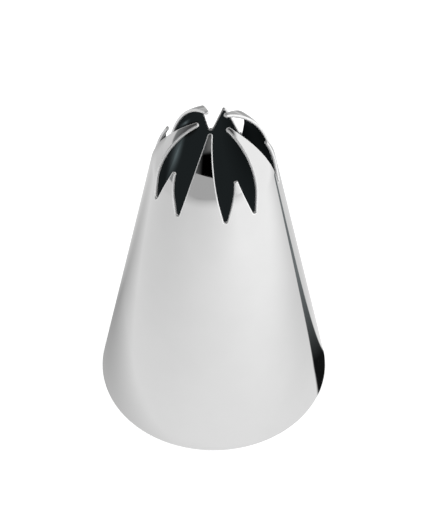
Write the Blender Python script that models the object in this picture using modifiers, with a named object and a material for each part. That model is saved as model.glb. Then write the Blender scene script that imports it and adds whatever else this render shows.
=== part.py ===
"""Closed-star piping nozzle for a pastry bag, pressed from one sheet of stainless steel.

The nozzle is an open cone that stands on its wide rim. Its narrow end is cut into pairs
of one long and one short tooth, and the teeth are pressed inwards over a round former,
so that they close most of the mouth and leave a star-shaped opening.

Metres, +Z up. The origin is the centre of the wide rim, on the surface that the nozzle
stands on. A long tooth is centred on -Y.
"""

import math

import bmesh
import bpy
from mathutils import Vector

MM = 0.001

# Driving dimensions, all on the outer skin. Lengths along the sheet count upwards from
# the bottoms of the slots between the teeth.
BASE_RADIUS = 15.0 * MM
SLOT_HEIGHT = 37.4 * MM         # height of the slot bottoms above the rim
SLOT_RADIUS = 8.36 * MM         # radius of the cone at that height
SHEET = 0.45 * MM               # thickness of the steel
TOOTH_PAIRS = 5
MOUTH_RADIUS = 1.96 * MM        # distance of the long teeth's tips from the axis
SHORT_TOOTH = 5.8 * MM          # length along the sheet
SHORT_ROOT = 4.1 * MM           # width around the cone; the long teeth take the rest
LONG_TIP_ROUND = 0.33 * MM      # radius of the tooth's round end
SHORT_TIP_ROUND = 0.27 * MM
SLOT_ROUND = 0.2 * MM           # radius of a slot's round bottom
TOOTH_FLARE = 1.2               # 1 gives straight sides, more draws them in towards the tip
BEND_START = 2.32 * MM          # length along the sheet at which the teeth turn inwards
BEND_RADIUS = 10.1 * MM

# How finely the curved shapes are divided
LONG_COLUMNS = 4                # across half of a long tooth
SHORT_COLUMNS = 3
WALL_ROWS = 6
SIDE_ROW = 0.9 * MM             # length of a row along a tooth's sides
ROUND_STEPS = 3                 # along a slot's round bottom or a tooth's round end

TRIM = 1.0 * MM                 # the sheet starts this much too long, and is cut level
CUTTER_MARGIN = 2.0 * MM

CONE_ANGLE = math.atan2(BASE_RADIUS - SLOT_RADIUS, SLOT_HEIGHT)
WALL_LENGTH = math.hypot(BASE_RADIUS - SLOT_RADIUS, SLOT_HEIGHT)
BEND_START_RADIUS = SLOT_RADIUS - BEND_START * math.sin(CONE_ANGLE)
PAIR_ANGLE = math.tau / TOOTH_PAIRS
SHORT_HALF = SHORT_ROOT / 2 / SLOT_RADIUS
LONG_HALF = PAIR_ANGLE / 2 - SHORT_HALF


def clear_scene():
    for old in list(bpy.data.objects):
        bpy.data.objects.remove(old, do_unlink=True)


def new_collection(name):
    collection = bpy.data.collections.new(name)
    bpy.context.scene.collection.children.link(collection)
    return collection


def polished_steel():
    material = bpy.data.materials.new("polished_steel")
    material.use_nodes = True
    shader = material.node_tree.nodes["Principled BSDF"]
    shader.inputs["Base Color"].default_value = (0.60, 0.60, 0.58, 1.0)
    shader.inputs["Metallic"].default_value = 1.0
    shader.inputs["Roughness"].default_value = 0.08
    return material


def skin_profile(length):
    """Radius and height of the outer skin at a length along the sheet."""
    straight = min(length, BEND_START)
    radius = SLOT_RADIUS - straight * math.sin(CONE_ANGLE)
    height = SLOT_HEIGHT + straight * math.cos(CONE_ANGLE)
    if length > BEND_START:
        turned = CONE_ANGLE + (length - BEND_START) / BEND_RADIUS
        radius -= BEND_RADIUS * (math.cos(CONE_ANGLE) - math.cos(turned))
        height += BEND_RADIUS * (math.sin(turned) - math.sin(CONE_ANGLE))
    return radius, height


def skin_point(length, azimuth):
    """Point of the outer skin. Azimuth 0 is -Y, and it grows towards +X."""
    radius, height = skin_profile(length)
    return Vector((radius * math.sin(azimuth), -radius * math.cos(azimuth), height))


def long_tooth_length():
    """Length along the sheet at which the curved skin comes as near the axis as the mouth."""
    reach = (BEND_START_RADIUS - MOUTH_RADIUS) / BEND_RADIUS
    turned = math.acos(math.cos(CONE_ANGLE) - reach)
    return BEND_START + BEND_RADIUS * (turned - CONE_ANGLE)


def half_width(length, tooth_length, root_width, tip_round):
    """Half the width of a tooth, measured around the skin, at a length along the sheet."""
    tip_centre = tooth_length - tip_round
    if length >= tip_centre:
        return math.sqrt(max(0.0, tip_round**2 - (length - tip_centre)**2))
    narrowing = (1.0 - length / tip_centre)**TOOTH_FLARE
    width = tip_round + (root_width - SLOT_ROUND - tip_round) * narrowing
    if length < SLOT_ROUND:
        width += SLOT_ROUND - math.sqrt(SLOT_ROUND**2 - (SLOT_ROUND - length)**2)
    return width


def tooth_rows(tooth_length, tip_round):
    """Lengths of a tooth's rows above its root: round slot bottom, sides, round tip."""
    quarter = [math.pi / 2 * step / ROUND_STEPS for step in range(1, ROUND_STEPS + 1)]
    slot = [SLOT_ROUND * (1.0 - math.cos(angle)) for angle in quarter]
    side_end = tooth_length - tip_round
    count = math.ceil((side_end - SLOT_ROUND) / SIDE_ROW)
    row = (side_end - SLOT_ROUND) / count
    sides = [SLOT_ROUND + row * number for number in range(1, count + 1)]
    tip = [side_end + tip_round * math.sin(angle) for angle in quarter]
    return slot + sides + tip


def extrude_row(sheet, edges, stations):
    """Extrudes a chain of edges, and hands each vertex's station on to its copy."""
    made = bmesh.ops.extrude_edge_only(sheet, edges=edges)["geom"]
    new_edges = [item for item in made if isinstance(item, bmesh.types.BMEdge)]
    new_stations = {}
    for item in made:
        if isinstance(item, bmesh.types.BMVert):
            source = min(stations, key=lambda vert: (vert.co - item.co).length)
            new_stations[item] = stations[source]
    return new_edges, new_stations


def ring_azimuths():
    """Azimuths of the wall's columns, which stand under the columns of the teeth."""
    azimuths = []
    for pair in range(TOOTH_PAIRS):
        long_middle = pair * PAIR_ANGLE
        short_middle = long_middle + PAIR_ANGLE / 2
        azimuths += [long_middle + LONG_HALF * step / LONG_COLUMNS
                     for step in range(-LONG_COLUMNS, LONG_COLUMNS)]
        azimuths += [short_middle + SHORT_HALF * step / SHORT_COLUMNS
                     for step in range(-SHORT_COLUMNS, SHORT_COLUMNS)]
    return azimuths


def add_wall(sheet):
    """Grows the plain cone from a ring, and returns its top edges and their azimuths."""
    lengths = [-WALL_LENGTH - TRIM]
    lengths += [-WALL_LENGTH * row / WALL_ROWS for row in reversed(range(WALL_ROWS))]
    azimuths = ring_azimuths()
    ring = bmesh.ops.create_circle(sheet, segments=len(azimuths), radius=BASE_RADIUS)
    stations = dict(zip(ring["verts"], azimuths))
    edges = list(sheet.edges)
    for vert, azimuth in stations.items():
        vert.co = skin_point(lengths[0], azimuth)
    for length in lengths[1:]:
        edges, stations = extrude_row(sheet, edges, stations)
        for vert, azimuth in stations.items():
            vert.co = skin_point(length, azimuth)
    return edges, stations


def tooth_root(edges, azimuths, middle, half_angle):
    """Edges under one tooth, and the places of their ends, from -1 to 1 across the tooth."""
    across = {}
    for vert, azimuth in azimuths.items():
        turned = (azimuth - middle + math.pi) % math.tau - math.pi
        if abs(turned) < half_angle * 1.001:
            across[vert] = turned / half_angle
    return [edge for edge in edges if all(vert in across for vert in edge.verts)], across


def add_tooth(sheet, wall_top, middle, half_angle, tooth_length, tip_round):
    """Grows one tooth from the top of the wall, row by row, and closes it at its tip."""
    edges, across = tooth_root(*wall_top, middle, half_angle)
    for length in tooth_rows(tooth_length, tip_round):
        edges, across = extrude_row(sheet, edges, across)
        width = half_width(length, tooth_length, half_angle * SLOT_RADIUS, tip_round)
        radius = skin_profile(length)[0]
        for vert, place in across.items():
            vert.co = skin_point(length, middle + place * width / radius)
    tip = skin_point(tooth_length, middle)
    bmesh.ops.pointmerge(sheet, verts=list(across), merge_co=tip)


def point_outwards(sheet):
    """Turns the faces over if they look at the axis."""
    sheet.normal_update()
    face = next(iter(sheet.faces))
    middle = face.calc_center_median()
    if face.normal.x * middle.x + face.normal.y * middle.y < 0.0:
        bmesh.ops.reverse_faces(sheet, faces=list(sheet.faces))


def pressed_sheet():
    """The outer skin of the whole nozzle, as an open surface."""
    sheet = bmesh.new()
    wall_top = add_wall(sheet)
    for pair in range(TOOTH_PAIRS):
        middle = pair * PAIR_ANGLE
        add_tooth(sheet, wall_top, middle, LONG_HALF, long_tooth_length(), LONG_TIP_ROUND)
        middle += PAIR_ANGLE / 2
        add_tooth(sheet, wall_top, middle, SHORT_HALF, SHORT_TOOTH, SHORT_TIP_ROUND)
    point_outwards(sheet)
    mesh = bpy.data.meshes.new("nozzle")
    sheet.to_mesh(mesh)
    sheet.free()
    mesh.shade_smooth()
    mesh.materials.append(polished_steel())
    return mesh


def rim_cutter(collection):
    """A disc whose top is the level on which the nozzle stands."""
    depth = TRIM + CUTTER_MARGIN
    bpy.ops.mesh.primitive_cylinder_add(
        vertices=48, radius=BASE_RADIUS + CUTTER_MARGIN, depth=depth,
        location=(0.0, 0.0, -depth / 2))
    cutter = bpy.context.object
    cutter.name = "rim_cutter"
    cutter.hide_render = True
    cutter.display_type = "WIRE"
    for owner in list(cutter.users_collection):
        owner.objects.unlink(cutter)
    collection.objects.link(cutter)
    return cutter


def add_nozzle(collection, cutters):
    """Gives the pressed skin its thickness inwards, and cuts the wide rim level."""
    nozzle = bpy.data.objects.new("nozzle", pressed_sheet())
    collection.objects.link(nozzle)
    wall = nozzle.modifiers.new("sheet", "SOLIDIFY")
    wall.thickness = SHEET
    wall.offset = -1.0
    wall.use_even_offset = True
    trim = nozzle.modifiers.new("level_rim", "BOOLEAN")
    trim.operation = "DIFFERENCE"
    trim.solver = "EXACT"
    trim.object = rim_cutter(cutters)


clear_scene()
add_nozzle(new_collection("piping_nozzle"), new_collection("cutters"))
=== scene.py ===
import math

import bmesh
import bpy
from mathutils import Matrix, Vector


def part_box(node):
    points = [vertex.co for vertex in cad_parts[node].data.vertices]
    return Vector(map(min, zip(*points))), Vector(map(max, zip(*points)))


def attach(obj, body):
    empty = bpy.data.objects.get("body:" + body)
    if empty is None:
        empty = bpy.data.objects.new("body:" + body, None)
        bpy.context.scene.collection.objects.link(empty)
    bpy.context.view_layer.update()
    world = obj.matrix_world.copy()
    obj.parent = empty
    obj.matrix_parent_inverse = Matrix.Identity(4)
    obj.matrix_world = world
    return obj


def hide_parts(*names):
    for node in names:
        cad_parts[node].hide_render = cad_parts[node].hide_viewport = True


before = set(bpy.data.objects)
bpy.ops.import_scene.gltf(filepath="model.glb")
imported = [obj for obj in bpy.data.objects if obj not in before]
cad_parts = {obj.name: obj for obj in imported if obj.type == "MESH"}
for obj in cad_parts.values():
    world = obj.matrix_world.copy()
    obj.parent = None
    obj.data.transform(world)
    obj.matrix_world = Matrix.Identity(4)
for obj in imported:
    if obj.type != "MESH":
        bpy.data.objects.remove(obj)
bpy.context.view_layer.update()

# The nozzle is one sheet of stainless steel, and it stands on the wide rim of its cone. The
# narrow end is cut into five long and five short teeth, which are pressed inwards over a
# round former. Tumbling then takes the edge off the cuts, and both skins are polished.

MM = 0.001
SLOT_HEIGHT = 37.4 * MM          # height of the slot bottoms above the rim
SLOT_RADIUS = 8.36 * MM          # outer radius of the cone at that height
SHEET = 0.45 * MM                # thickness of the steel
TOOTH_PAIRS = 5
MOUTH_RADIUS = 1.96 * MM         # distance of the long teeth's tips from the axis
SHORT_TOOTH = 5.8 * MM           # length along the sheet
SHORT_ROOT = 4.1 * MM            # width around the cone; the long teeth take the rest
LONG_TIP_ROUND = 0.33 * MM
SHORT_TIP_ROUND = 0.27 * MM
SLOT_ROUND = 0.2 * MM
TOOTH_FLARE = 1.2                # how much a tooth's sides draw in towards its tip
BEND_START = 2.32 * MM           # along the sheet from the slot bottoms
BEND_RADIUS = 10.1 * MM
EDGE_ROUND = 0.16 * MM           # how far the tumbling rounds a cut edge
EDGE_BAND = 0.18 * MM            # plain band along a cut edge, in which the rounding is made

LONG_COLUMNS = 8                 # across half of a tooth
SHORT_COLUMNS = 5
SIDE_ROW = 0.25 * MM             # rows along the sides of a tooth
SLOT_STEPS = 8                   # rows round half of a slot's bottom
TIP_STEPS = 5                    # rows round half of a tooth's tip
WALL_ROWS = 30
TRIM = 1.0 * MM                  # the cone starts this much too long, and is cut level
MERGE = 0.001 * MM
CUT = 1                          # material slot of the cut edges

RING_SPACING = 0.35 * MM         # polishing rings
RING_DEPTH = 0.00002 * MM
RING_STRETCH = 50.0              # how much longer a polishing mark is than it is wide
WAVE_LENGTH = 9.0 * MM           # waviness left by the pressing
WAVE_DEPTH = 0.012 * MM
CLOUD_SIZE = 6.0 * MM            # faint clouds in the mirror
CLEAR, HAZY = 0.35, 0.7          # values of the cloud pattern in its clear and its hazy parts
GRAIN_SIZE = 0.12 * MM           # satin grain of the cut edges
GRAIN_DEPTH = 0.002 * MM
EDGE_METALLIC = 0.87             # a little under 1, for the light that the grain scatters

box_low, box_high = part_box("nozzle")
RIM_RADIUS = (box_high.y - box_low.y) / 2
CONE_ANGLE = math.atan2(RIM_RADIUS - SLOT_RADIUS, SLOT_HEIGHT)
WALL_LENGTH = math.hypot(RIM_RADIUS - SLOT_RADIUS, SLOT_HEIGHT)
BEND_EDGE = SLOT_RADIUS - BEND_START * math.sin(CONE_ANGLE)
PAIR_ANGLE = math.tau / TOOTH_PAIRS


def skin_profile(length):
    """Radius and height of the outer skin at a length along the sheet above the slots."""
    straight = min(length, BEND_START)
    radius = SLOT_RADIUS - straight * math.sin(CONE_ANGLE)
    height = SLOT_HEIGHT + straight * math.cos(CONE_ANGLE)
    if length > BEND_START:
        turned = CONE_ANGLE + (length - BEND_START) / BEND_RADIUS
        radius -= BEND_RADIUS * (math.cos(CONE_ANGLE) - math.cos(turned))
        height += BEND_RADIUS * (math.sin(turned) - math.sin(CONE_ANGLE))
    return radius, height


def sheet_at(place):
    """Depth of a place under the outer skin, and the direction in which the sheet faces there."""
    bend_height = SLOT_HEIGHT + BEND_START * math.cos(CONE_ANGLE)
    centre_radius = BEND_EDGE - BEND_RADIUS * math.cos(CONE_ANGLE)
    centre_height = bend_height - BEND_RADIUS * math.sin(CONE_ANGLE)
    radius = math.hypot(place.x, place.y)
    out, up = radius - centre_radius, place.z - centre_height
    rise = max(math.atan2(up, out), CONE_ANGLE)
    depth = BEND_RADIUS - out * math.cos(rise) - up * math.sin(rise)
    around = Vector((place.x / radius, place.y / radius, 0.0)) * math.cos(rise)
    return depth, around + Vector((0.0, 0.0, math.sin(rise)))


def tooth_side(root_half, length, tip_round):
    """One side of a tooth laid flat, from the slot bottom to the tip, as (across, along)."""
    end = length - tip_round
    rows = math.ceil((end - SLOT_ROUND) / SIDE_ROW)

    def across(along):
        narrowing = (1.0 - along / end) ** TOOTH_FLARE
        return tip_round + (root_half - SLOT_ROUND - tip_round) * narrowing

    side = []
    for step in range(SLOT_STEPS):
        angle = math.pi / 2 * step / SLOT_STEPS
        along = SLOT_ROUND * (1.0 - math.cos(angle))
        side.append((across(along) + SLOT_ROUND * (1.0 - math.sin(angle)), along))
    for row in range(rows):
        along = SLOT_ROUND + (end - SLOT_ROUND) * row / rows
        side.append((across(along), along))
    for step in range(TIP_STEPS + 1):
        angle = math.pi / 2 * step / TIP_STEPS
        side.append((tip_round * math.cos(angle), end + tip_round * math.sin(angle)))
    return side


def drawn_in(side, band):
    """The same side moved into the tooth by the width of a band."""
    moved = [(side[0][0], side[0][1] - band)]
    for before, here, after in zip(side, side[1:], side[2:]):
        step = Vector((after[0] - before[0], after[1] - before[1])).normalized()
        moved.append((here[0] - step.y * band, here[1] + step.x * band))
    moved.append((0.0, side[-1][1] - band))
    return moved


def pick_edges(wanted):
    """Selects the edges of the mesh being edited that pass the test, and only those."""
    bpy.ops.mesh.select_all(action="DESELECT")
    bpy.ops.mesh.select_mode(type="EDGE")
    mesh = bpy.context.object.data
    shape = bmesh.from_edit_mesh(mesh)
    for edge in shape.edges:
        edge.select_set(wanted(edge))
    bmesh.update_edit_mesh(mesh)


def cut_tooth(name, root_half, length, tip_round, columns):
    """A tooth's skin laid flat: extruded row by row up the sheet, and closed at the tip."""
    rows = drawn_in(tooth_side(root_half, length, tip_round), EDGE_BAND)
    (first_half, first_along), (second_half, second_along) = rows[:2]
    strip = second_along - first_along
    bpy.ops.object.select_all(action="DESELECT")
    bpy.ops.mesh.primitive_grid_add(x_subdivisions=2 * columns, y_subdivisions=1, size=2.0)
    tooth = bpy.context.object
    tooth.name = name
    bpy.ops.object.mode_set(mode="EDIT")
    bpy.ops.mesh.select_all(action="SELECT")
    bpy.ops.transform.resize(value=(first_half, strip / 2, 1.0))
    bpy.ops.transform.translate(value=(0.0, first_along + strip / 2, 0.0))
    limit = first_along + strip / 2
    pick_edges(lambda edge: all(vert.co.y > limit for vert in edge.verts))
    bpy.ops.transform.resize(
        value=(second_half / first_half, 1.0, 1.0), center_override=(0.0, 0.0, 0.0))
    for (half, along), (next_half, next_along) in zip(rows[1:], rows[2:-1]):
        bpy.ops.mesh.extrude_edges_move(
            TRANSFORM_OT_translate={"value": (0.0, next_along - along, 0.0)})
        bpy.ops.transform.resize(
            value=(next_half / half, 1.0, 1.0), center_override=(0.0, next_along, 0.0))
    bpy.ops.mesh.extrude_edges_move(
        TRANSFORM_OT_translate={"value": (0.0, rows[-1][1] - rows[-2][1], 0.0)})
    bpy.ops.mesh.merge(type="CENTER")
    bpy.ops.object.mode_set(mode="OBJECT")
    return tooth


def press_tooth(tooth, middle):
    """Wraps a flat tooth round the cone and presses it over the former."""
    for vert in tooth.data.vertices:
        radius, height = skin_profile(vert.co.y)
        azimuth = middle + vert.co.x / min(radius, SLOT_RADIUS)
        vert.co = (radius * math.sin(azimuth), -radius * math.cos(azimuth), height)


def colour(srgb_hex):
    """Linear RGBA of an sRGB hex colour."""
    parts = [int(srgb_hex[at:at + 2], 16) / 255 for at in (0, 2, 4)]
    linear = [part / 12.92 if part <= 0.04045 else ((part + 0.055) / 1.055) ** 2.4
              for part in parts]
    return linear + [1.0]


def add_node(material, kind, settings, links):
    """Adds a node, sets its properties and sockets, and links other nodes' outputs to it."""
    node = material.node_tree.nodes.new(kind)
    for name, value in settings.items():
        if isinstance(name, str) and hasattr(node, name):
            setattr(node, name, value)
        else:
            node.inputs[name].default_value = value
    for name, output in links.items():
        material.node_tree.links.new(output, node.inputs[name])
    return node


def plain_material(name):
    """A material with nothing in it yet but its output."""
    material = bpy.data.materials.new(name)
    material.use_nodes = True
    material.node_tree.nodes.clear()
    return material


def polished_stainless_steel():
    """Stainless steel, rolled, pressed and polished on a wheel as it turns: a clean mirror.

    The wheel leaves fine rings round the axis. Real ones are a few hundredths of a millimetre
    apart, so they are drawn coarser here. Pressing leaves the mirror slightly wavy, and
    handling leaves faint clouds where it is a little less clear.
    """
    material = plain_material("polished_stainless_steel")
    place = add_node(material, "ShaderNodeTexCoord", {}, {})
    turning = add_node(material, "ShaderNodeMapping",
                       {"Scale": (1.0 / RING_STRETCH, 1.0 / RING_STRETCH, 1.0)},
                       {"Vector": place.outputs["Object"]})
    rings = add_node(material, "ShaderNodeTexNoise", {"Scale": 1.0 / RING_SPACING, "Detail": 2.0},
                     {"Vector": turning.outputs["Vector"]})
    waves = add_node(material, "ShaderNodeTexNoise", {"Scale": 1.0 / WAVE_LENGTH, "Detail": 0.0},
                     {"Vector": place.outputs["Object"]})
    clouds = add_node(material, "ShaderNodeTexNoise", {"Scale": 1.0 / CLOUD_SIZE, "Detail": 4.0},
                      {"Vector": place.outputs["Object"]})
    wavy = add_node(material, "ShaderNodeBump", {"Strength": 1.0, "Distance": WAVE_DEPTH},
                    {"Height": waves.outputs["Fac"]})
    ringed = add_node(material, "ShaderNodeBump", {"Strength": 1.0, "Distance": RING_DEPTH},
                      {"Height": rings.outputs["Fac"], "Normal": wavy.outputs["Normal"]})
    haze = add_node(material, "ShaderNodeMapRange",
                    {"From Min": CLEAR, "From Max": HAZY, "To Min": 0.035, "To Max": 0.07},
                    {"Value": clouds.outputs["Fac"]})
    tone = add_node(material, "ShaderNodeMix",
                    {"data_type": "RGBA", 6: colour("CECECE"), 7: colour("D4D4D4")},
                    {0: clouds.outputs["Fac"]})
    steel = add_node(material, "ShaderNodeBsdfPrincipled", {"Metallic": 1.0},
                     {"Base Color": tone.outputs[2], "Roughness": haze.outputs["Result"],
                      "Normal": ringed.outputs["Normal"]})
    add_node(material, "ShaderNodeOutputMaterial", {}, {"Surface": steel.outputs["BSDF"]})
    return material


def tumbled_cut_edge_and_painted_highlight():
    """The same steel where the press sheared it and tumbling with fine stones took the burr off.

    The stones leave a satin grain, so a cut edge scatters light and looks paler than the mirror,
    and its colour is painted paler still: a painted highlight along the edges.
    """
    material = plain_material("tumbled_cut_edge_and_painted_highlight")
    place = add_node(material, "ShaderNodeTexCoord", {}, {})
    grain = add_node(material, "ShaderNodeTexNoise", {"Scale": 1.0 / GRAIN_SIZE, "Detail": 3.0},
                     {"Vector": place.outputs["Object"]})
    bumpy = add_node(material, "ShaderNodeBump", {"Strength": 1.0, "Distance": GRAIN_DEPTH},
                     {"Height": grain.outputs["Fac"]})
    satin = add_node(material, "ShaderNodeMapRange", {"To Min": 0.4, "To Max": 0.55},
                     {"Value": grain.outputs["Fac"]})
    # painted highlight: the cut edges' colour is painted paler than the mirror's steel
    steel = add_node(material, "ShaderNodeBsdfPrincipled",
                     {"Metallic": EDGE_METALLIC, "Base Color": colour("F0F0F0")},
                     {"Roughness": satin.outputs["Result"], "Normal": bumpy.outputs["Normal"]})
    add_node(material, "ShaderNodeOutputMaterial", {}, {"Surface": steel.outputs["BSDF"]})
    return material


bend_turn = math.acos(math.cos(CONE_ANGLE) - (BEND_EDGE - MOUTH_RADIUS) / BEND_RADIUS)
long_length = BEND_START + BEND_RADIUS * (bend_turn - CONE_ANGLE)
long_root_half = SLOT_RADIUS * PAIR_ANGLE / 2 - SHORT_ROOT / 2

long_tooth = cut_tooth("long_tooth", long_root_half, long_length, LONG_TIP_ROUND, LONG_COLUMNS)
short_tooth = cut_tooth("short_tooth", SHORT_ROOT / 2, SHORT_TOOTH, SHORT_TIP_ROUND, SHORT_COLUMNS)
press_tooth(long_tooth, 0.0)
press_tooth(short_tooth, PAIR_ANGLE / 2)

# The pair of teeth is repeated round the axis, and their roots become the top of the cone.
nozzle = long_tooth
bpy.ops.object.select_all(action="DESELECT")
short_tooth.select_set(True)
nozzle.select_set(True)
bpy.context.view_layer.objects.active = nozzle
bpy.ops.object.join()
bpy.ops.object.mode_set(mode="EDIT")
bpy.ops.mesh.select_all(action="SELECT")
bpy.ops.mesh.spin(steps=TOOTH_PAIRS - 1, dupli=True, angle=math.tau - PAIR_ANGLE,
                  center=(0.0, 0.0, 0.0), axis=(0.0, 0.0, 1.0))
bpy.ops.mesh.select_all(action="SELECT")
bpy.ops.mesh.remove_doubles(threshold=MERGE)

radius, height = skin_profile(-EDGE_BAND)
root_top = height + MERGE
pick_edges(lambda edge: all(vert.co.z < root_top for vert in edge.verts))
wall_step = (WALL_LENGTH + TRIM - EDGE_BAND) / WALL_ROWS
for row in range(1, WALL_ROWS + 1):
    next_radius, next_height = skin_profile(-EDGE_BAND - wall_step * row)
    bpy.ops.mesh.extrude_edges_move(
        TRANSFORM_OT_translate={"value": (0.0, 0.0, next_height - height)})
    scale = next_radius / radius
    bpy.ops.transform.resize(value=(scale, scale, 1.0), center_override=(0.0, 0.0, next_height))
    radius, height = next_radius, next_height
bpy.ops.object.mode_set(mode="OBJECT")

# The skin gets the sheet's thickness inwards, and the cut faces round the teeth get the second
# finish, which carries a painted highlight. Then they are pushed out by the plain band, which
# brings the teeth to full size.
nozzle.data.materials.append(polished_stainless_steel())
nozzle.data.materials.append(tumbled_cut_edge_and_painted_highlight())
sheet = nozzle.modifiers.new("sheet", "SOLIDIFY")
sheet.thickness = SHEET
sheet.offset = -1.0
sheet.material_offset_rim = CUT
bpy.ops.object.modifier_apply(modifier=sheet.name)
bpy.ops.object.mode_set(mode="EDIT")
bpy.ops.mesh.select_all(action="DESELECT")
bpy.ops.mesh.select_mode(type="FACE")
shape = bmesh.from_edit_mesh(nozzle.data)
for face in shape.faces:
    face.select_set(face.material_index == CUT and face.calc_center_median().z > SLOT_HEIGHT / 2)
bmesh.update_edit_mesh(nozzle.data)
bpy.ops.mesh.extrude_region_shrink_fatten(TRANSFORM_OT_shrink_fatten={"value": EDGE_BAND})

# The wide end is cut level to make the rim, and tumbling rounds every cut edge.
bpy.ops.mesh.select_all(action="SELECT")
bpy.ops.mesh.bisect(plane_co=(0.0, 0.0, 0.0), plane_no=(0.0, 0.0, 1.0),
                    clear_inner=True, threshold=MERGE)
bpy.ops.mesh.bridge_edge_loops()
shape = bmesh.from_edit_mesh(nozzle.data)
for face in shape.faces:
    if all(vert.co.z < MERGE for vert in face.verts):
        face.material_index = CUT
bmesh.update_edit_mesh(nozzle.data)
pick_edges(lambda edge: len({face.material_index for face in edge.link_faces}) == 2)
bpy.ops.mesh.bevel(offset=EDGE_ROUND, segments=5, profile=0.5, affect="EDGES",
                   clamp_overlap=False, material=CUT)
bpy.ops.object.mode_set(mode="OBJECT")

# On both skins the shading follows the pressed curve exactly, so that reflections run clean
# up to the rounded edges.
bpy.ops.object.shade_smooth()
facings = []
for vert in nozzle.data.vertices:
    depth, facing = sheet_at(vert.co)
    if abs(depth) < MERGE:
        facings.append(facing)
    elif abs(depth - SHEET) < MERGE:
        facings.append(-facing)
    else:
        facings.append(vert.normal.copy())
nozzle.data.normals_split_custom_set_from_vertices(facings)
nozzle.name = "polished_nozzle"
nozzle.data.name = "polished_nozzle"
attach(nozzle, "root")
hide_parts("nozzle")

# The camera looks down on the nozzle from the front, from almost half a metre away, with a
# long lens. Directions below are azimuths from the camera's side, positive to its right.
CAMERA_AZIMUTH = math.radians(11.3)
CAMERA_HEIGHT = math.radians(48.7)
CAMERA_DISTANCE = 468.2 * MM
AIM = Vector((0.36, 0.07, 21.5)) * MM
LENS = 251.0                     # focal length, in millimetres like the sensor's width
SENSOR_WIDTH = 36.0

camera = bpy.data.objects.new("camera", bpy.data.cameras.new("camera"))
bpy.context.scene.collection.objects.link(camera)
bpy.context.scene.camera = camera
back = Vector((math.sin(CAMERA_AZIMUTH) * math.cos(CAMERA_HEIGHT),
               -math.cos(CAMERA_AZIMUTH) * math.cos(CAMERA_HEIGHT), math.sin(CAMERA_HEIGHT)))
camera.location = AIM + back * CAMERA_DISTANCE
camera.rotation_euler = back.to_track_quat("Z", "Y").to_euler()
camera.data.lens = LENS
camera.data.sensor_width = SENSOR_WIDTH
camera.data.clip_start = 10.0 * MM
camera.data.clip_end = 10.0

# The floor is a plain pale table in an even white surround, which lights it and is also the
# background. Polished steel shows nothing but what stands round it, so the steel gets a studio
# of its own: a second table, a room and glowing cards that only its reflections see.
FLOOR_SIZE = 8.0
FLOOR_GAP = 0.06 * MM            # the table lies this far under the rim
FLOOR_GLOW = 0.35
SURROUND_STRENGTH = 1.15
TABLE_REACH = 220.0 * MM         # the table that the steel sees
STRIP_START = Vector((10.4, -6.8)) * MM
STRIP_LENGTH = 53.0 * MM
STRIP_WIDTH = 5.5 * MM
STRIP_TURN = math.radians(49.8)
STRIP_SHADE = 0.33               # share of the table's light that is lost beside the strip
ROOM_RADIUS = 1.5


def pale_table():
    """White laminate, lit a little from inside so that the shadow under the rim stays faint."""
    material = plain_material("pale_table")
    laminate = add_node(material, "ShaderNodeBsdfPrincipled",
                        {"Base Color": colour("F2F2F2"), "Roughness": 0.9,
                         "Specular IOR Level": 0.0, "Emission Color": colour("FFFFFF"),
                         "Emission Strength": FLOOR_GLOW}, {})
    add_node(material, "ShaderNodeOutputMaterial", {}, {"Surface": laminate.outputs["BSDF"]})
    return material


def soft_shadow(material, place, right, away, turn, along, across, depth):
    """What an oval shadow with soft edges leaves of the light, from its middle and its reach."""
    oval = add_node(material, "ShaderNodeMapping",
                    {"vector_type": "TEXTURE", "Location": (right, away, 0.0),
                     "Rotation": (0.0, 0.0, turn), "Scale": (along, across, along)},
                    {"Vector": place})
    ball = add_node(material, "ShaderNodeTexGradient", {"gradient_type": "SPHERICAL"},
                    {"Vector": oval.outputs["Vector"]})
    left = add_node(material, "ShaderNodeMapRange", {"To Min": 1.0, "To Max": 1.0 - depth},
                    {"Value": ball.outputs["Fac"]})
    return left.outputs["Result"]


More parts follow.
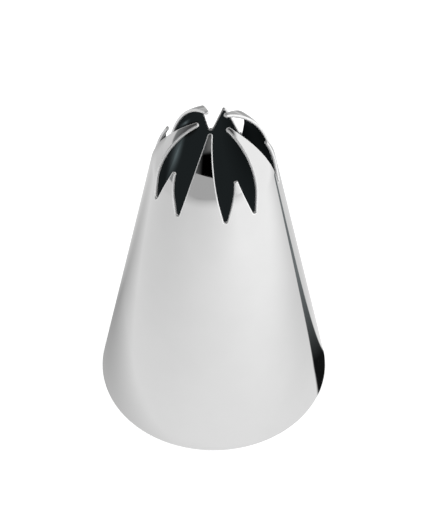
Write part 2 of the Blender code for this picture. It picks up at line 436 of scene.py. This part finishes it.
def table_shine():
    """What the steel sees of the table, in the camera's own right and away directions."""
    material = plain_material("table_shine")
    place = add_node(material, "ShaderNodeTexCoord", {}, {}).outputs["Object"]
    split = add_node(material, "ShaderNodeSeparateXYZ", {}, {"Vector": place})

    # brighter to the right, where the softbox hangs, and dimmer towards the front
    across = add_node(material, "ShaderNodeMapRange",
                      {"From Min": -80.0 * MM, "From Max": 45.0 * MM,
                       "To Min": 0.82, "To Max": 1.27}, {"Value": split.outputs["X"]})
    front = add_node(material, "ShaderNodeMapRange",
                     {"From Min": -60.0 * MM, "From Max": -200.0 * MM,
                      "To Min": 1.0, "To Max": 0.6}, {"Value": split.outputs["Y"]})

    # the nozzle's own shadow behind its left side, a rounder one close to the rim, and a dim
    # stretch of table further behind it
    thrown = soft_shadow(material, place, right=-20.0 * MM, away=13.0 * MM,
                         turn=math.radians(135.0), along=38.0 * MM, across=18.0 * MM, depth=0.55)
    close = soft_shadow(material, place, right=-9.0 * MM, away=3.0 * MM,
                        turn=0.0, along=18.0 * MM, across=18.0 * MM, depth=0.50)
    behind = soft_shadow(material, place, right=5.0 * MM, away=110.0 * MM,
                         turn=0.0, along=90.0 * MM, across=80.0 * MM, depth=0.62)

    # the table dims towards the dark strip, and stays dim behind it
    strip_place = add_node(material, "ShaderNodeMapping",
                           {"vector_type": "TEXTURE", "Rotation": (0.0, 0.0, STRIP_TURN),
                            "Location": (STRIP_START.x, STRIP_START.y, 0.0)}, {"Vector": place})
    strip_split = add_node(material, "ShaderNodeSeparateXYZ", {},
                           {"Vector": strip_place.outputs["Vector"]})
    near_strip = add_node(material, "ShaderNodeMapRange",
                          {"interpolation_type": "SMOOTHSTEP", "From Min": -38.0 * MM,
                           "From Max": 7.0 * MM, "To Min": 0.0, "To Max": STRIP_SHADE},
                          {"Value": strip_split.outputs["Y"]})
    along_strip = add_node(material, "ShaderNodeMapRange",
                           {"interpolation_type": "SMOOTHSTEP", "From Min": -12.0 * MM,
                            "From Max": 25.0 * MM}, {"Value": strip_split.outputs["X"]})
    strip_shade = add_node(material, "ShaderNodeMath", {"operation": "MULTIPLY"},
                           {0: near_strip.outputs["Result"], 1: along_strip.outputs["Result"]})
    strip_light = add_node(material, "ShaderNodeMath", {"operation": "SUBTRACT", 0: 1.0},
                           {1: strip_shade.outputs["Value"]})

    level = across.outputs["Result"]
    for factor in (front.outputs["Result"], thrown, close, behind, strip_light.outputs["Value"]):
        level = add_node(material, "ShaderNodeMath", {"operation": "MULTIPLY"},
                         {0: level, 1: factor}).outputs["Value"]
    outside = add_node(material, "ShaderNodeEmission", {"Color": colour("FFFFFF")},
                       {"Strength": level})

    # inside the rim it is almost dark, blackest on the left, and a little light creeps in
    # under the right side
    inner_dark = add_node(material, "ShaderNodeMapRange",
                          {"From Min": -14.0 * MM, "From Max": -4.0 * MM,
                           "To Min": 0.008, "To Max": 0.023}, {"Value": split.outputs["X"]})
    creep_place = add_node(material, "ShaderNodeMapping",
                           {"vector_type": "TEXTURE", "Location": (13.4 * MM, 6.0 * MM, 0.0),
                            "Rotation": (0.0, 0.0, math.radians(25.0)),
                            "Scale": (3.5 * MM, 8.0 * MM, 8.0 * MM)}, {"Vector": place})
    creep_ball = add_node(material, "ShaderNodeTexGradient",
                          {"gradient_type": "QUADRATIC_SPHERE"},
                          {"Vector": creep_place.outputs["Vector"]})
    creep = add_node(material, "ShaderNodeMath", {"operation": "MULTIPLY_ADD", 1: 0.22},
                     {0: creep_ball.outputs["Fac"], 2: inner_dark.outputs["Result"]})
    inside = add_node(material, "ShaderNodeEmission", {"Color": colour("DDF4FA")},
                      {"Strength": creep.outputs["Value"]})

    from_axis = add_node(material, "ShaderNodeVectorMath", {"operation": "LENGTH"}, {0: place})
    rim = add_node(material, "ShaderNodeMath",
                   {"operation": "GREATER_THAN", 1: RIM_RADIUS - SHEET / 2},
                   {0: from_axis.outputs["Value"]})
    table = add_node(material, "ShaderNodeMixShader", {},
                     {0: rim.outputs["Value"], 1: inside.outputs["Emission"],
                      2: outside.outputs["Emission"]})
    add_node(material, "ShaderNodeOutputMaterial", {}, {"Surface": table.outputs["Shader"]})
    return material


def glowing_card(name, strength, soft_sides, soft_ends):
    """A card that shines evenly, and fades out towards its sides and its top and bottom."""
    material = plain_material(name)
    place = add_node(material, "ShaderNodeTexCoord", {}, {})
    split = add_node(material, "ShaderNodeSeparateXYZ", {}, {"Vector": place.outputs["UV"]})
    masks = []
    for axis, soft in (("X", soft_sides), ("Y", soft_ends)):
        inwards = add_node(material, "ShaderNodeMath", {"operation": "PINGPONG", 1: 0.5},
                           {0: split.outputs[axis]})
        masks.append(add_node(material, "ShaderNodeMapRange",
                              {"interpolation_type": "SMOOTHSTEP", "From Max": soft},
                              {"Value": inwards.outputs["Value"]}).outputs["Result"])
    mask = add_node(material, "ShaderNodeMath", {"operation": "MULTIPLY"},
                    {0: masks[0], 1: masks[1]})
    clear = add_node(material, "ShaderNodeBsdfTransparent", {}, {})
    glow = add_node(material, "ShaderNodeEmission",
                    {"Color": colour("FFFFFF"), "Strength": strength}, {})
    card = add_node(material, "ShaderNodeMixShader", {},
                    {0: mask.outputs["Value"], 1: clear.outputs["BSDF"],
                     2: glow.outputs["Emission"]})
    add_node(material, "ShaderNodeOutputMaterial", {}, {"Surface": card.outputs["Shader"]})
    return material


def dark_strip():
    """A dark strip with a narrow near end, which pales away from the nozzle.

    Places are shares of the strip's own length and width, from -0.5 to 0.5.
    """
    material = plain_material("dark_strip")
    place = add_node(material, "ShaderNodeTexCoord", {}, {})
    split = add_node(material, "ShaderNodeSeparateXYZ", {}, {"Vector": place.outputs["Object"]})
    reach = add_node(material, "ShaderNodeMapRange",
                     {"From Min": -0.47, "From Max": -0.33, "To Min": 0.36, "To Max": 0.5},
                     {"Value": split.outputs["X"]})
    aside = add_node(material, "ShaderNodeMath", {"operation": "ABSOLUTE"},
                     {0: split.outputs["Y"]})
    share = add_node(material, "ShaderNodeMath", {"operation": "DIVIDE"},
                     {0: aside.outputs["Value"], 1: reach.outputs["Result"]})
    mask = add_node(material, "ShaderNodeMapRange",
                    {"interpolation_type": "SMOOTHSTEP", "From Min": 1.0, "From Max": 0.8},
                    {"Value": share.outputs["Value"]})
    level = add_node(material, "ShaderNodeMapRange",
                     {"From Min": -0.31, "From Max": 0.03, "To Min": 0.01, "To Max": 0.24},
                     {"Value": split.outputs["X"]})
    clear = add_node(material, "ShaderNodeBsdfTransparent", {}, {})
    glow = add_node(material, "ShaderNodeEmission", {"Color": colour("E6F0F2")},
                    {"Strength": level.outputs["Result"]})
    strip = add_node(material, "ShaderNodeMixShader", {},
                     {0: mask.outputs["Result"], 1: clear.outputs["BSDF"],
                      2: glow.outputs["Emission"]})
    add_node(material, "ShaderNodeOutputMaterial", {}, {"Surface": strip.outputs["Shader"]})
    return material


def dim_room():
    """The room round the studio: mid grey at the height of the table, darker above."""
    material = plain_material("dim_room")
    place = add_node(material, "ShaderNodeTexCoord", {}, {})
    split = add_node(material, "ShaderNodeSeparateXYZ", {}, {"Vector": place.outputs["Object"]})
    level = add_node(material, "ShaderNodeMapRange",
                     {"From Min": 0.0, "From Max": 0.45 * ROOM_RADIUS,
                      "To Min": 0.37, "To Max": 0.09}, {"Value": split.outputs["Z"]})
    glow = add_node(material, "ShaderNodeEmission", {"Color": colour("FAFDFE")},
                    {"Strength": level.outputs["Result"]})
    add_node(material, "ShaderNodeOutputMaterial", {}, {"Surface": glow.outputs["Emission"]})
    return material


def only_reflected(card):
    """Hides a card from everything but the steel."""
    card.visible_camera = False
    card.visible_diffuse = False
    card.visible_transmission = False
    card.visible_volume_scatter = False
    card.visible_shadow = False


def hang_card(material, azimuth, elevation, distance, width, height):
    """A flat card that faces the mouth of the nozzle from that direction, in degrees."""
    turn, rise = math.radians(azimuth) + CAMERA_AZIMUTH, math.radians(elevation)
    towards = Vector((math.sin(turn) * math.cos(rise), -math.cos(turn) * math.cos(rise),
                      math.sin(rise)))
    mouth = Vector((0.0, 0.0, SLOT_HEIGHT))
    bpy.ops.object.select_all(action="DESELECT")
    bpy.ops.mesh.primitive_plane_add(size=1.0, location=mouth + towards * distance,
                                     rotation=towards.to_track_quat("Z", "Y").to_euler())
    card = bpy.context.object
    card.name = material.name
    card.scale = (width, height, 1.0)
    card.data.materials.append(material)
    only_reflected(card)


bpy.ops.object.select_all(action="DESELECT")
bpy.ops.mesh.primitive_plane_add(size=FLOOR_SIZE, location=(0.0, 0.0, -FLOOR_GAP))
floor = bpy.context.object
floor.name = "floor"
floor.data.materials.append(pale_table())
floor.visible_glossy = False

bpy.ops.object.select_all(action="DESELECT")
bpy.ops.mesh.primitive_circle_add(vertices=96, radius=TABLE_REACH, fill_type="NGON",
                                  location=(0.0, 0.0, -FLOOR_GAP * 2 / 3),
                                  rotation=(0.0, 0.0, CAMERA_AZIMUTH))
table_card = bpy.context.object
table_card.name = "table_card"
table_card.data.materials.append(table_shine())
only_reflected(table_card)

# The dark strip lies on the table to the right, and runs away from the camera. The cone draws
# it out into the thin dark line down its right side.
middle = STRIP_START + Vector((math.cos(STRIP_TURN), math.sin(STRIP_TURN))) * STRIP_LENGTH / 2
bpy.ops.object.select_all(action="DESELECT")
bpy.ops.mesh.primitive_plane_add(size=1.0, location=(middle.x, middle.y, -FLOOR_GAP / 3),
                                 rotation=(0.0, 0.0, STRIP_TURN))
bpy.ops.transform.rotate(value=-CAMERA_AZIMUTH, orient_axis="Z", center_override=(0.0, 0.0, 0.0))
strip = bpy.context.object
strip.name = "dark_strip"
strip.scale = (STRIP_LENGTH, STRIP_WIDTH, 1.0)
strip.data.materials.append(dark_strip())
only_reflected(strip)

hang_card(glowing_card("grey_wall", strength=0.55, soft_sides=0.3, soft_ends=0.01),
          azimuth=-22.0, elevation=6.0, distance=0.45, width=1.10, height=0.30)
hang_card(glowing_card("camera_shade", strength=0.0, soft_sides=0.2, soft_ends=0.16),
          azimuth=0.0, elevation=40.0, distance=0.55, width=0.68, height=0.46)
hang_card(glowing_card("pale_ceiling", strength=0.17, soft_sides=0.3, soft_ends=0.3),
          azimuth=0.0, elevation=72.0, distance=0.70, width=0.50, height=0.36)
hang_card(glowing_card("right_softbox", strength=1.28, soft_sides=0.3, soft_ends=0.15),
          azimuth=88.0, elevation=11.0, distance=0.60, width=2.40, height=0.90)
hang_card(glowing_card("left_sweep", strength=0.85, soft_sides=0.4, soft_ends=0.15),
          azimuth=-128.0, elevation=-2.0, distance=0.60, width=1.00, height=0.24)
hang_card(glowing_card("back_sweep", strength=0.60, soft_sides=0.3, soft_ends=0.15),
          azimuth=180.0, elevation=-4.0, distance=0.61, width=1.80, height=0.24)

bpy.ops.object.select_all(action="DESELECT")
bpy.ops.mesh.primitive_uv_sphere_add(segments=48, ring_count=24, radius=ROOM_RADIUS)
room = bpy.context.object
room.name = "dim_room"
room.data.materials.append(dim_room())
only_reflected(room)

world = bpy.data.worlds.new("studio")
bpy.context.scene.world = world
world.use_nodes = True
surround = world.node_tree.nodes["Background"]
surround.inputs["Color"].default_value = colour("FFFFFF")
surround.inputs["Strength"].default_value = SURROUND_STRENGTH
world.cycles_visibility.glossy = False

bpy.context.scene.view_settings.view_transform = "Standard"
